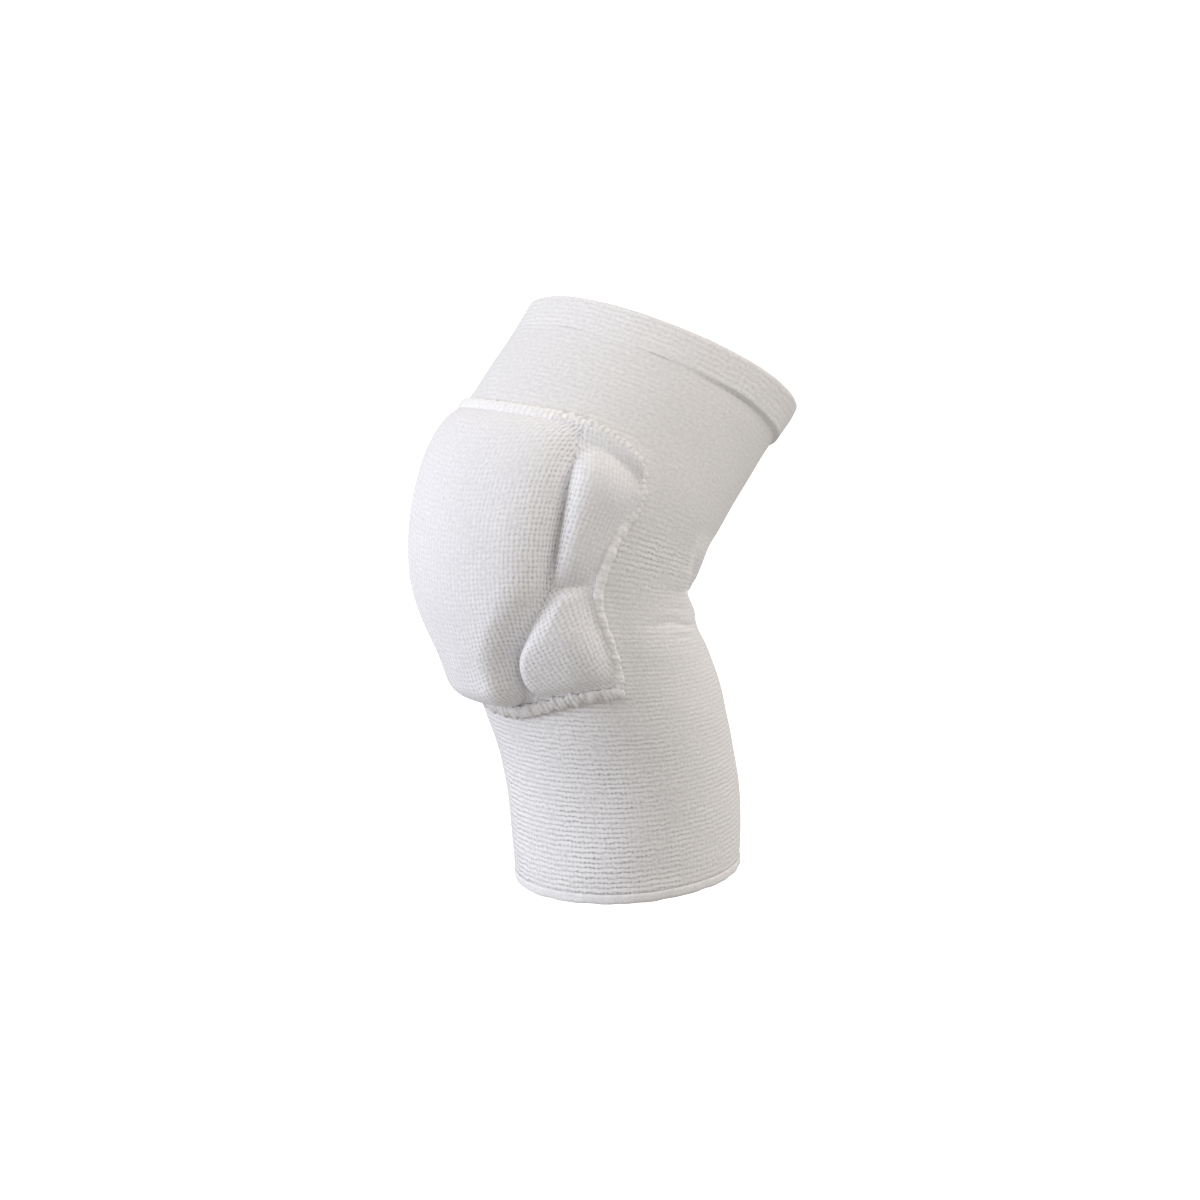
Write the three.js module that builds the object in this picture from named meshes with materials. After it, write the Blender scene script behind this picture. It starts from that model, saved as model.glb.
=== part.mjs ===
import * as THREE from 'three';

// Volleyball knee pad, worn on a bent knee. Lengths in mm, +Z up, kneecap side towards -Y.
// The origin is the middle of the knee. A place on the sleeve is given by
// `along` (0 at the calf opening, 1 at the thigh opening) and `around`
// (degrees from the front midline, positive towards +X).

// Driving sizes
const sleeveHeight = 234;      // rise from the middle of the calf opening to that of the thigh opening
const kneeRadius = 57.5;       // half depth of the sleeve at the knee
const sleeveWall = 2;          // knitted cloth
const padThickness = 16.5;     // foam and cover at the middle of the centre pad
const sidePadThickness = 10.5; // foam and cover of the four side pads
const padFoot = 3;             // height of every pad at its edge
const seamWidth = 4.6;         // stitched welts round the pads
const seamHeight = 3;
const lowerSeamHeight = 5;     // the cover bunches up under the pads
const thighHemWidth = 16;      // doubled band, measured along the leg
const thighHemWall = 3.4;
const calfHemWidth = 5.2;      // rolled band
const calfHemWall = 3.8;
const hemRise = 0.9;           // how far the hems stand out past the sleeve
const layGap = 0.5;            // between a piece and the one it lies on
const grooveGap = 0.5;         // between two pads

// How far in from its edge each pad goes on rounding off
const centreSideRound = 15;
const centreLowRound = 9;
const centreTopSlope = 60;     // the centre pad swells slowly below its top edge
const sideGrooveRound = 6;
const sideSeamRound = 12;
const sideTopRound = 14;
const sideLowRound = 5;

// Rings of the sleeve. along: share of the run; behind, up: middle of the ring as shares of
// sleeveHeight; lean: tilt of the ring in degrees; depth, width: half sizes as shares of kneeRadius.
const rings = [
  { along: 0.000, behind: 0.1660, up: -0.5770, lean: -4.5, depth: 0.890, width: 0.880 },
  { along: 0.119, behind: 0.1545, up: -0.4419, lean: -4.0, depth: 0.925, width: 0.915 },
  { along: 0.235, behind: 0.1265, up: -0.3154, lean: -2.0, depth: 0.937, width: 0.937 },
  { along: 0.339, behind: 0.0870, up: -0.2073, lean: 1.0, depth: 0.976, width: 0.960 },
  { along: 0.448, behind: 0.0390, up: -0.0979, lean: 4.5, depth: 1.003, width: 0.958 },
  { along: 0.541, behind: 0.0000, up: 0.0000, lean: 10.0, depth: 1.004, width: 0.950 },
  { along: 0.632, behind: 0.0077, up: 0.1004, lean: 18.0, depth: 1.068, width: 1.014 },
  { along: 0.735, behind: 0.0479, up: 0.2073, lean: 24.5, depth: 1.132, width: 1.087 },
  { along: 0.839, behind: 0.1179, up: 0.2991, lean: 28.5, depth: 1.123, width: 1.101 },
  { along: 0.925, behind: 0.1855, up: 0.3690, lean: 30.0, depth: 1.114, width: 1.100 },
  { along: 1.000, behind: 0.2500, up: 0.4375, lean: 28.5, depth: 1.142, width: 1.112 },
];

// Folds in the sleeve behind the knee. along: share of the run at the back midline; drift: change of
// along towards the sides; depth: share of kneeRadius; halfWidth: share of the run; from, to: degrees
// round from the front where the fold starts and is full.
const folds = [
  { along: 0.585, drift: -0.010, depth: 0.040, halfWidth: 0.017, from: 95, to: 150 },
  { along: 0.520, drift: -0.014, depth: 0.012, halfWidth: 0.014, from: 78, to: 110 },
  { along: 0.675, drift: 0.020, depth: 0.012, halfWidth: 0.020, from: 100, to: 160 },
];

// Edges of the pads on one side. along: share of the run; groove: degrees to the groove beside
// the centre pad; side: degrees to the side seam.
const padEdges = [
  { along: 0.330, groove: 20.5, side: 57.5 },
  { along: 0.385, groove: 19.5, side: 61.0 },
  { along: 0.435, groove: 22.0, side: 63.5 },
  { along: 0.480, groove: 29.5, side: 64.0 },
  { along: 0.525, groove: 38.0, side: 63.5 },
  { along: 0.560, groove: 43.0, side: 63.5 },
  { along: 0.635, groove: 44.5, side: 67.5 },
  { along: 0.700, groove: 43.5, side: 72.5 },
  { along: 0.745, groove: 42.0, side: 69.0 },
  { along: 0.790, groove: 40.0, side: 62.0 },
];

// Lines of the two cross seams. around: degrees; lower, upper: share of the run.
const padEnds = [
  { around: 0, lower: 0.3330, upper: 0.778 },
  { around: 9, lower: 0.3350, upper: 0.779 },
  { around: 20, lower: 0.3460, upper: 0.781 },
  { around: 35, lower: 0.3640, upper: 0.785 },
  { around: 50, lower: 0.3770, upper: 0.782 },
  { around: 75, lower: 0.3880, upper: 0.752 },
];

// Crease between the upper and lower side pads. around: degrees; along: share of the run.
const sideCrease = [
  { around: 36, along: 0.545 },
  { around: 44, along: 0.555 },
  { around: 53, along: 0.562 },
  { around: 66, along: 0.574 },
];

const radians = (degrees) => degrees * Math.PI / 180;
const mix = (a, b, share) => a + (b - a) * share;
const clamp = (x) => Math.min(1, Math.max(0, x));
const ease = (x) => { const c = clamp(x); return c * c * (3 - 2 * c); };

// value of one column of a table at x, on a smooth curve through its rows
function read(table, by, column, x) {
  const last = table.length - 1;
  const at = Math.min(table[last][by], Math.max(table[0][by], x));
  let i = 0;
  while (i < last - 1 && at > table[i + 1][by]) i += 1;
  const slope = (k) => {
    const a = table[Math.max(0, k - 1)], b = table[Math.min(last, k + 1)];
    return (b[column] - a[column]) / (b[by] - a[by]);
  };
  const run = table[i + 1][by] - table[i][by];
  const t = (at - table[i][by]) / run;
  return (2 * t ** 3 - 3 * t ** 2 + 1) * table[i][column] + (t ** 3 - 2 * t ** 2 + t) * run * slope(i)
    + (3 * t ** 2 - 2 * t ** 3) * table[i + 1][column] + (t ** 3 - t ** 2) * run * slope(i + 1);
}

// length of the bent middle line through the rings
const sleeveLength = rings.slice(1).reduce((sum, ring, i) =>
  sum + sleeveHeight * Math.hypot(ring.behind - rings[i].behind, ring.up - rings[i].up), 0);
const degreesPer = 180 / Math.PI / kneeRadius;   // degrees round the leg for each mm

// how far the folds push the cloth in at a place
function foldDepth(along, around) {
  const turn = Math.abs(around > 180 ? around - 360 : around);
  let depth = 0;
  for (const fold of folds) {
    const line = fold.along + fold.drift * (180 - turn) / 90;
    const off = (along - line) / fold.halfWidth;
    depth += fold.depth * Math.exp(-off * off) * ease((turn - fold.from) / (fold.to - fold.from));
  }
  return depth * kneeRadius;
}

// point on the sleeve's outer face, lifted off it in the plane of its ring
function place(along, around, lift) {
  const angle = radians(around), lean = radians(read(rings, 'along', 'lean', along));
  const out = lift - foldDepth(along, around);
  const front = (read(rings, 'along', 'depth', along) * kneeRadius + out) * Math.cos(angle);
  const side = (read(rings, 'along', 'width', along) * kneeRadius + out) * Math.sin(angle);
  return new THREE.Vector3(
    side,
    read(rings, 'along', 'behind', along) * sleeveHeight - Math.cos(lean) * front,
    read(rings, 'along', 'up', along) * sleeveHeight + Math.sin(lean) * front,
  );
}

// geometry from points and triangles, turned so that it encloses a positive volume
function shape(spots, index) {
  const geometry = new THREE.BufferGeometry();
  let volume = 0;
  const cross = new THREE.Vector3();
  for (let i = 0; i < index.length; i += 3) {
    volume += spots[index[i]].dot(cross.crossVectors(spots[index[i + 1]], spots[index[i + 2]]));
  }
  if (volume < 0) {
    for (let i = 0; i < index.length; i += 3) [index[i], index[i + 1]] = [index[i + 1], index[i]];
  }
  geometry.setAttribute('position', new THREE.Float32BufferAttribute(spots.flatMap((p) => p.toArray()), 3));
  geometry.setIndex(index);
  geometry.computeVertexNormals();
  return geometry;
}

// closed body from rows of points, each row a closed loop: the rows either close on
// themselves too, or the first and last are filled
function loopBody(points, closedRows) {
  const rows = points.length, columns = points[0].length, index = [];
  const at = (r, c) => (r % rows) * columns + (c % columns);
  for (let r = 0; r < (closedRows ? rows : rows - 1); r += 1) {
    for (let c = 0; c < columns; c += 1) {
      index.push(at(r, c), at(r, c + 1), at(r + 1, c + 1), at(r, c), at(r + 1, c + 1), at(r + 1, c));
    }
  }
  if (!closedRows) {
    for (let c = 1; c < columns - 1; c += 1) {
      index.push(at(0, 0), at(0, c + 1), at(0, c));
      index.push(at(rows - 1, 0), at(rows - 1, c), at(rows - 1, c + 1));
    }
  }
  return shape(points.flat(), index);
}

const kneePad = new THREE.Group();
kneePad.name = 'volleyball_knee_pad';

function add(name, geometry, color, roughness) {
  const material = new THREE.MeshStandardMaterial({ color, roughness, metalness: 0 });
  material.name = name + '_cloth';
  const mesh = new THREE.Mesh(geometry, material);
  mesh.name = name;
  kneePad.add(mesh);
}

// ring round the leg with a cross-section given by { along, lift } corners
const ringColumns = 36;
const ringBody = (section) => loopBody(section.map((corner) =>
  Array.from({ length: ringColumns }, (_, c) => place(corner.along, c * 360 / ringColumns, corner.lift))), true);

// Sleeve: outer face up, round the thigh end, inner face down, round the calf end
const sleeveRows = 34;
const sleeveStart = (calfHemWidth + layGap) / sleeveLength;
const sleeveEnd = 1 - (thighHemWidth + layGap) / sleeveLength;
const sleeveSteps = Array.from({ length: sleeveRows + 1 }, (_, i) =>
  mix(sleeveStart, sleeveEnd, i / sleeveRows));
add('knit_sleeve', ringBody([
  ...sleeveSteps.map((along) => ({ along, lift: 0 })),
  ...sleeveSteps.map((along) => ({ along, lift: -sleeveWall })).reverse(),
]), '#d9d7d6', 0.95);

// Hems: bands that carry the sleeve's line on, with rounded edges; edgeShare is what is
// left of the wall at the two edges
function hem(from, to, wall, edgeShare, steps) {
  const face = (outer) => Array.from({ length: steps + 1 }, (_, i) => {
    const share = i / steps;
    const full = 1 - (1 - edgeShare) * (2 * share - 1) ** 6;
    return { along: mix(from, to, share), lift: hemRise - wall / 2 + (outer ? 1 : -1) * wall / 2 * full };
  });
  return ringBody([...face(true), ...face(false).reverse()]);
}
add('thigh_hem', hem(1 - thighHemWidth / sleeveLength, 1, thighHemWall, 0.45, 5), '#dddbda', 0.95);
add('calf_hem', hem(0, calfHemWidth / sleeveLength, calfHemWall, 0.4, 3), '#e4e3e4', 0.95);

// Pads: a patch of the sleeve, laid out by p from low to high and q from one side to the other,
// with its under face on the sleeve; heightAt gets the mm from the low, high, q = 0 and q = 1 edges
function pad(outline, heightAt, rows, columns) {
  const top = [], under = [];
  const runs = (a, b) => Math.abs(a[0] - b[0]) * sleeveLength;
  const turns = (a, b) => Math.abs(a[1] - b[1]) / degreesPer;
  for (let r = 0; r <= rows; r += 1) {
    for (let c = 0; c <= columns; c += 1) {
      // rows and columns crowd towards the edges, where the pad rounds off
      const p = (1 - Math.cos(Math.PI * r / rows)) / 2, q = (1 - Math.cos(Math.PI * c / columns)) / 2;
      const here = outline(p, q);
      const height = heightAt(runs(here, outline(0, q)), runs(here, outline(1, q)),
        turns(here, outline(p, 0)), turns(here, outline(p, 1)));
      under.push(place(here[0], here[1], layGap));
      top.push(place(here[0], here[1], layGap + height));
    }
  }
  const index = [], shift = top.length, line = columns + 1;
  for (let r = 0; r < rows; r += 1) {
    for (let c = 0; c < columns; c += 1) {
      const a = r * line + c, b = a + 1, d = a + line, e = d + 1;
      index.push(a, b, e, a, e, d);
      index.push(a + shift, e + shift, b + shift, a + shift, d + shift, e + shift);
    }
  }
  const rim = [];
  for (let c = 0; c < columns; c += 1) rim.push(c);
  for (let r = 0; r < rows; r += 1) rim.push(r * line + columns);
  for (let c = columns; c > 0; c -= 1) rim.push(rows * line + c);
  for (let r = rows; r > 0; r -= 1) rim.push(r * line);
  rim.forEach((a, i) => {
    const b = rim[(i + 1) % rim.length];
    index.push(a, b + shift, b, a, a + shift, b + shift);
  });
  return shape([...top, ...under], index);
}

// share of the full height at a distance from an edge, as a quarter round
const rise = (distance, reach) => Math.sqrt(1 - (1 - clamp(distance / reach)) ** 2);
// the same as a long slow swell
const swell = (distance, reach) => 1 - (1 - clamp(distance / reach)) ** 2;

const seamHalf = seamWidth / 2 + layGap;
const endLine = (column, around) => read(padEnds, 'around', column, Math.abs(around));
const grooveAt = (along) => read(padEdges, 'along', 'groove', along);
const sideAt = (along) => read(padEdges, 'along', 'side', along);
const lowEdge = (around) => endLine('lower', around) + seamHalf / sleeveLength;
const highEdge = (around) => endLine('upper', around) - seamHalf / sleeveLength;
const grooveHalf = grooveGap / 2;
const settle = 6;   // passes in which a place's along and around settle on each other

// Centre pad
add('centre_pad', pad((p, q) => {
  let around = 0, along = mix(lowEdge(0), highEdge(0), p);
  for (let pass = 0; pass < settle; pass += 1) {
    around = (2 * q - 1) * (grooveAt(along) - grooveHalf * degreesPer);
    along = mix(lowEdge(around), highEdge(around), p);
  }
  return [along, around];
}, (low, high, left, right) => {
  const across = (left - right) / (left + right || 1);
  const crown = 1 - 0.30 * across ** 2;
  const edge = rise(Math.min(left, right), centreSideRound) * rise(low, centreLowRound)
    * swell(high, centreTopSlope);
  return padFoot + (padThickness - padFoot) * crown * edge;
}, 18, 18), '#dddde0', 0.95);

// Side pads, on the +X side and mirrored; the lower ones swell most at the corner by the
// foot of the centre pad
const sideOutline = (upper, sign) => (p, q) => {
  let along = sideCrease[0].along, around = 0;
  for (let pass = 0; pass < settle; pass += 1) {
    around = mix(grooveAt(along) + grooveHalf * degreesPer, sideAt(along) - seamHalf * degreesPer, q);
    const crease = read(sideCrease, 'around', 'along', around);
    along = upper
      ? mix(crease + grooveHalf / sleeveLength, highEdge(around), p)
      : mix(lowEdge(around), crease - grooveHalf / sleeveLength, p);
  }
  return [along, sign * around];
};
const sideHeight = (upper) => (low, high, groove, side) => {
  const across = groove / (groove + side || 1), rising = low / (low + high || 1);
  const crown = upper ? 1 - 0.15 * across : 1.5 - 0.55 * across - 0.35 * rising;
  const edge = rise(groove, sideGrooveRound) * rise(side, sideSeamRound)
    * rise(low, sideLowRound) * rise(high, upper ? sideTopRound : sideLowRound);
  return padFoot + (sidePadThickness - padFoot) * crown * edge;
};
for (const [side, sign] of [['left', 1], ['right', -1]]) {
  add('upper_side_pad_' + side, pad(sideOutline(true, sign), sideHeight(true), 10, 8), '#d2d0cf', 0.95);
  add('lower_side_pad_' + side, pad(sideOutline(false, sign), sideHeight(false), 10, 9), '#d4d2d1', 0.95);
}

// Seams: rounded welts laid on the sleeve along a line of [along, around] places
function welt(line, height, steps) {
  const corners = 7;
  return loopBody(Array.from({ length: steps + 1 }, (_, i) => {
    const here = line(i / steps);
    const ahead = line(Math.min(1, (i + 0.5) / steps)), before = line(Math.max(0, (i - 0.5) / steps));
    const run = (ahead[0] - before[0]) * sleeveLength, turn = (ahead[1] - before[1]) / degreesPer;
    const size = Math.hypot(run, turn);
    return Array.from({ length: corners }, (_, k) => {
      const angle = Math.PI * k / (corners - 1), across = Math.cos(angle) * seamWidth / 2;
      return place(here[0] - across * turn / size / sleeveLength,
        here[1] + across * run / size * degreesPer, layGap + Math.sin(angle) * height);
    });
  }), false);
}

// where a cross seam meets the side seams, in degrees round
const seamCorner = (column) => {
  let around = sideAt(0.5);
  for (let pass = 0; pass < settle; pass += 1) around = sideAt(endLine(column, around));
  return around + seamWidth / 2 * degreesPer;
};
for (const [column, height] of [['upper', seamHeight], ['lower', lowerSeamHeight]]) {
  add(column + '_pad_seam', welt((t) => {
    const around = mix(-1, 1, t) * seamCorner(column);
    return [endLine(column, around), around];
  }, height, 34), '#e6e5e6', 0.9);
}
// the side welts stop short of the cross welts, which slope at their ends
for (const [side, sign] of [['left', 1], ['right', -1]]) {
  add('side_seam_' + side, welt((t) => {
    const along = mix(lowEdge(seamCorner('lower')), highEdge(seamCorner('upper')), t);
    return [along, sign * sideAt(along)];
  }, seamHeight, 22), '#dedcdc', 0.9);
}

export default kneePad;
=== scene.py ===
import math

import bmesh
import bpy
import numpy as np
from numpy import concatenate as join
from mathutils import Matrix, Vector


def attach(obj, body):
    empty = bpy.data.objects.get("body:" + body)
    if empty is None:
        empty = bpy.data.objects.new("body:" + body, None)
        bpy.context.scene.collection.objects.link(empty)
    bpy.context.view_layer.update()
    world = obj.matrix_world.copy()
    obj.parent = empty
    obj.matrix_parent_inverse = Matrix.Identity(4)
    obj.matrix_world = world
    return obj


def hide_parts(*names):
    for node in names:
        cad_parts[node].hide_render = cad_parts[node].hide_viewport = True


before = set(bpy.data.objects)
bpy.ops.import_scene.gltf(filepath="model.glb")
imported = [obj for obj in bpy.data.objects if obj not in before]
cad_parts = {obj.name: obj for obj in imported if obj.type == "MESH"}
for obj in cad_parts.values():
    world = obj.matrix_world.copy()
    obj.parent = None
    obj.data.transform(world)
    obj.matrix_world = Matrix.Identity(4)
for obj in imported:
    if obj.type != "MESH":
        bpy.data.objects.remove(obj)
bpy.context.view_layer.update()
mm = 0.001    # every size below is in millimetres unless a note says otherwise

# The leg that the knit is stretched over. along: share of the run from calf hem to thigh hem;
# behind, up: a ring's middle as shares of height; lean: degrees; depth, width: half sizes as
# shares of kneeRadius.
leg = {
    "height": 234.0, "kneeRadius": 57.5,
    "along": [0.000, 0.119, 0.235, 0.339, 0.448, 0.541, 0.632, 0.735, 0.839, 0.925, 1.000],
    "behind": [0.1660, 0.1545, 0.1265, 0.0870, 0.0390, 0.0000, 0.0077, 0.0479, 0.1179, 0.1855, 0.2500],
    "up": [-0.5770, -0.4419, -0.3154, -0.2073, -0.0979, 0.0000, 0.1004, 0.2073, 0.2991, 0.3690, 0.4375],
    "lean": [-4.5, -4.0, -2.0, 1.0, 4.5, 10.0, 18.0, 24.5, 28.5, 30.0, 28.5],
    "depth": [0.890, 0.925, 0.937, 0.976, 1.003, 1.004, 1.068, 1.132, 1.123, 1.114, 1.142],
    "width": [0.880, 0.915, 0.937, 0.960, 0.958, 0.950, 1.014, 1.087, 1.101, 1.100, 1.112],
}

# Folds across the back of the knee, one in each column. along: place at the back midline; drift:
# how it slides towards the sides; depth: share of kneeRadius; half: half width as a share of the
# run; sharp: 2 is a soft bell, less is a crease; start, full, fade: degrees from the front.
folds = {
    "along": [0.583, 0.520, 0.535, 0.675, 0.548, 0.508, 0.628],
    "drift": [-0.010, -0.014, -0.010, 0.020, 0.045, 0.030, -0.050],
    "depth": [0.046, 0.020, -0.040, 0.012, 0.013, 0.010, 0.010],
    "half": [0.019, 0.008, 0.030, 0.026, 0.009, 0.008, 0.010],
    "sharp": [1.1, 1.2, 2.0, 2.0, 1.3, 1.3, 1.3],
    "start": [95, 78, 110, 100, 125, 120, 112],
    "full": [150, 104, 150, 160, 150, 158, 150],
    "fade": [181, 116, 181, 181, 181, 181, 181],
}
foldLine = {"fadeOver": 20.0, "stray": [(0.0045, 5, 60, 0), (0.0027, 11, 37, 0)]}   # in shares of the run

# Lines that the pads are sewn along: grooves beside the centre pad, side and cross seams, side crease
padLines = {
    "along": [0.330, 0.385, 0.435, 0.480, 0.525, 0.560, 0.635, 0.700, 0.745, 0.790],
    "groove": [20.5, 19.5, 22.0, 29.5, 38.0, 43.0, 44.5, 43.5, 42.0, 40.0],
    "side": [57.5, 61.0, 63.5, 64.0, 63.5, 63.5, 67.5, 72.5, 69.0, 62.0],
    "around": [0, 9, 20, 35, 50, 75],
    "lower": [0.3330, 0.3350, 0.3460, 0.3640, 0.3770, 0.3880],
    "upper": [0.778, 0.779, 0.781, 0.785, 0.782, 0.752],
    "creaseAround": [36, 44, 53, 66],
    "crease": [0.545, 0.555, 0.562, 0.574],
}


def readLine(table, column, at, by="along"):
    # cubic through the table's rows; the slope at a row is the chord between its two neighbours
    x, y = np.asarray(table[by], float), np.asarray(table[column], float)
    last = len(x) - 1
    k = np.arange(last + 1)
    before, after = np.maximum(k - 1, 0), np.minimum(k + 1, last)
    slope = (y[after] - y[before]) / (x[after] - x[before])
    at = np.clip(at, x[0], x[last])
    i = np.clip(np.searchsorted(x, at) - 1, 0, last - 1)
    run = x[i + 1] - x[i]
    t = (at - x[i]) / run
    return ((2 * t ** 3 - 3 * t ** 2 + 1) * y[i] + (t ** 3 - 2 * t ** 2 + t) * run * slope[i]
            + (3 * t ** 2 - 2 * t ** 3) * y[i + 1] + (t ** 3 - t ** 2) * run * slope[i + 1])


def sewnLine(column, at):
    # angle of the groove or side seam at a share of the run, or a cross seam's share at an angle
    return readLine(padLines, column, np.abs(at), "along" if column in ("groove", "side") else "around")


def ease(x, start=0.0, over=1.0):
    # smooth step: 0 up to start, 1 from over past it
    c = np.clip((x - start) / over, 0, 1)
    return c * c * (3 - 2 * c)


def rise(distance, reach, power=2.0):
    # quarter round, upright at the edge and full at reach from it; a power over 2 squares it off
    return (1 - (1 - np.clip(distance / reach, 0, 1)) ** power) ** (1 / power)


def swell(distance, reach):
    # the same as a long slow swell
    return 1 - (1 - np.clip(distance / reach, 0, 1)) ** 2


def bell(x, middle, width):
    # e to the minus square of the distance from the middle in widths
    return np.exp(-((x - middle) / width) ** 2)


def waves(rows, angle, s=0.0):
    # sum of sines; a row is the size, whole turns round the leg, radians for each unit of s, phase
    return sum(size * np.sin(turns * angle + slope * s + phase) for size, turns, slope, phase in rows)


def fromFront(around):
    # degrees from the front midline, the shorter way round
    return np.abs((around + 180) % 360 - 180)


def aroundGrid(columns):
    # one row of angles all the way round, from the back midline
    return (-180 + 360 * np.arange(columns) / columns)[None, :]


runLength = leg["height"] * float(np.sum(np.hypot(np.diff(leg["behind"]), np.diff(leg["up"]))))
degreesPer = 180 / math.pi / leg["kneeRadius"]    # degrees round the leg for each mm
girth = 2 * np.pi * leg["kneeRadius"] * mm    # round the knee, in metres


def foldDepth(along, around):
    # sum of bell-shaped dents across the back, faded in from the sides; each line strays in two sines
    turn, angle = fromFront(around), np.radians(around)
    depth = 0
    for at, drift, deep, half, sharp, start, full, fade in zip(*folds.values()):
        line = at + drift * (180 - turn) / 90 + waves(foldLine["stray"], angle, at)
        off = np.abs(along - line) / half
        depth = depth + (deep * np.exp(-off ** sharp) * (1 - ease(turn, fade, foldLine["fadeOver"]))
                         * ease(turn, start, full - start))
    return depth * leg["kneeRadius"]


def place(along, around, lift):
    # point at a share of the run and an angle from the front midline, lifted off the cloth in
    # the plane of its ring: an ellipse turned by the ring's lean and moved to the ring's middle
    angle = np.radians(around)
    lean = np.radians(readLine(leg, "lean", along))
    out = lift - foldDepth(along, around)
    front = (readLine(leg, "depth", along) * leg["kneeRadius"] + out) * np.cos(angle)
    side = (readLine(leg, "width", along) * leg["kneeRadius"] + out) * np.sin(angle)
    y = readLine(leg, "behind", along) * leg["height"] - np.cos(lean) * front
    z = readLine(leg, "up", along) * leg["height"] + np.sin(lean) * front
    return np.stack(np.broadcast_arrays(side, y, z), axis=-1) * mm


def makeMesh(name, points, faces, uv=None, values=None):
    # object from an array of points and one of corner indices; uv holds one pair for each corner,
    # values a number for each point, each row of a grid, or all
    mesh = bpy.data.meshes.new(name)
    mesh.vertices.add(points.size // 3)
    mesh.vertices.foreach_set("co", points.astype(np.float32).ravel())
    mesh.loops.add(faces.size)
    mesh.loops.foreach_set("vertex_index", faces.astype(np.int32).ravel())
    mesh.polygons.add(len(faces))
    mesh.polygons.foreach_set("loop_start", np.arange(0, faces.size, faces.shape[1], dtype=np.int32))
    mesh.update(calc_edges=True)
    if uv is not None:
        mesh.uv_layers.new(name="cloth").data.foreach_set("uv", uv.astype(np.float32).ravel())
    for key, value in (values or {"relief": 1.0}).items():
        value = np.broadcast_to(value, points.shape[:-1]).astype(np.float32)
        mesh.attributes.new(key, "FLOAT", "POINT").data.foreach_set("value", value.ravel())
    mesh.polygons.foreach_set("use_smooth", np.ones(len(faces), dtype=bool))
    mesh.validate()
    piece = bpy.data.objects.new(name, mesh)
    bpy.context.scene.collection.objects.link(piece)
    return piece


def gridFaces(rows, columns, closedRows, closedColumns):
    # corners of every cell of a grid of points, and the same in an unwrapped grid that has an
    # extra row or column where the surface closes
    r, c = np.meshgrid(np.arange(rows if closedRows else rows - 1),
                       np.arange(columns if closedColumns else columns - 1), indexing="ij")
    r, c = r.ravel(), c.ravel()
    corner = [(r, c), (r, c + 1), (r + 1, c + 1), (r + 1, c)]
    faces = np.stack([(a % rows) * columns + b % columns for a, b in corner], axis=1)
    return faces, corner


def cornerUv(corner, across, down):
    # uv pairs of the corners, from one value for each column and one for each row
    return np.stack([np.stack([across[c], down[r]], axis=-1) for r, c in corner], axis=1)


def tubePiece(name, along, lift, s, values):
    # ring body: the section (along, lift) is carried round the leg; along has one column where a
    # row keeps its place all the way round. u runs in metres round the leg, v is s.
    rows, columns = lift.shape
    points = place(np.broadcast_to(along, (rows, columns)), aroundGrid(columns), lift)
    faces, corner = gridFaces(rows, columns, True, True)
    across = (np.arange(columns + 1) / columns - 0.5) * girth
    uv = cornerUv(corner, across, join([s, s[:1]]) * mm)
    return makeMesh(name, points, faces[:, ::-1], uv[:, ::-1], values)


# Knitted sleeve: a tube of ribbed knit, open at both ends. A pair is a bell's middle and width, or
# where a smooth step starts and how long it is.
sleeve = {
    "wall": 2.0,
    "calfEnd": 5.2,    # where it meets the calf hem
    "thighEnd": 16.0,    # where it meets the thigh hem
    "calfLap": 0.2, "thighLap": 0.1,   # how far it goes under each hem
    "course": 2.3,    # from one knitted row to the next, stretched on the leg
    "rowsPerCourse": 4,
    "ribHeight": 0.07,
    "ribWander": [(0.22, 3, 1 / 31, 0), (0.15, 7, -1 / 12, 0)],
    "columns": 168,
    "innerRows": 56,
    "edgeStep": 0.03,    # a last narrow row keeps the end's shading flat
    "reliefAt": [0, 60, 85, 110, 170, 195, 212],
    "relief": [1.6, 1.25, 0.9, 0.8, 0.7, 0.32, 0.2],    # how far the rows stand out there
    "reliefAround": 0.42, "reliefSide": 0.68, "side": (34, 32),    # more at the sides
    "besideRelief": 0.6, "besideRun": (164, 12), "besideTurn": (95, 22),    # and beside the upper pads
    "innerRelief": 0.6,
    "panelEdge": 119.5, "panelFrom": 152, "panelSlant": 0.42, "panelBlur": 12,
    "panelRun": (167, 21), "panelSquare": 2.6, "panelTint": 0.66,
    "flareHeight": 2.2, "flareTurn": (40, 50), "flareRun": 50,
}

# Wavy knit behind the knee. waves: size, mm along for each radian, radians for each degree round,
# phase, share of the sway
gather = {
    "height": 0.42,
    "waves": [(1.0, 1.25, 0.030, 0.0, 1), (0.6, 0.83, -0.055, 1.3, 0), (0.5, 2.3, 0.05, 2.0, 0)],
    "sway": 9.0,
    "low": (133, 11), "high": (160, 14), "highShare": 0.35,
    "back": (150, 20), "side": (112, 12), "sideShare": 0.5,
}
uneven = {"height": 0.35, "slow": 17, "middling": 9.5, "quick": 5.2, "drift": 21, "calfFade": 6, "thighFade": 9}
tent = {"height": 0.45, "reach": 6, "ridge": 0.45, "frontLess": 0.3, "ridgeAt": (2.6, 2.0),
        "front": (25, 20), "last": 70}


def gathers(along, around):
    # three drifting sines in soft windows, bunched below the fold
    s, turn = along * runLength, fromFront(around)
    sway = np.sin(turn / gather["sway"])
    wave = sum(size * np.sin(s / pitch + slant * turn + phase + share * sway)
               for size, pitch, slant, phase, share in gather["waves"])
    window = bell(s, *gather["low"]) + gather["highShare"] * bell(s, *gather["high"])
    behind = ease(turn, *gather["back"]) + gather["sideShare"] * bell(turn, *gather["side"])
    return gather["height"] * wave * window * behind


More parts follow.
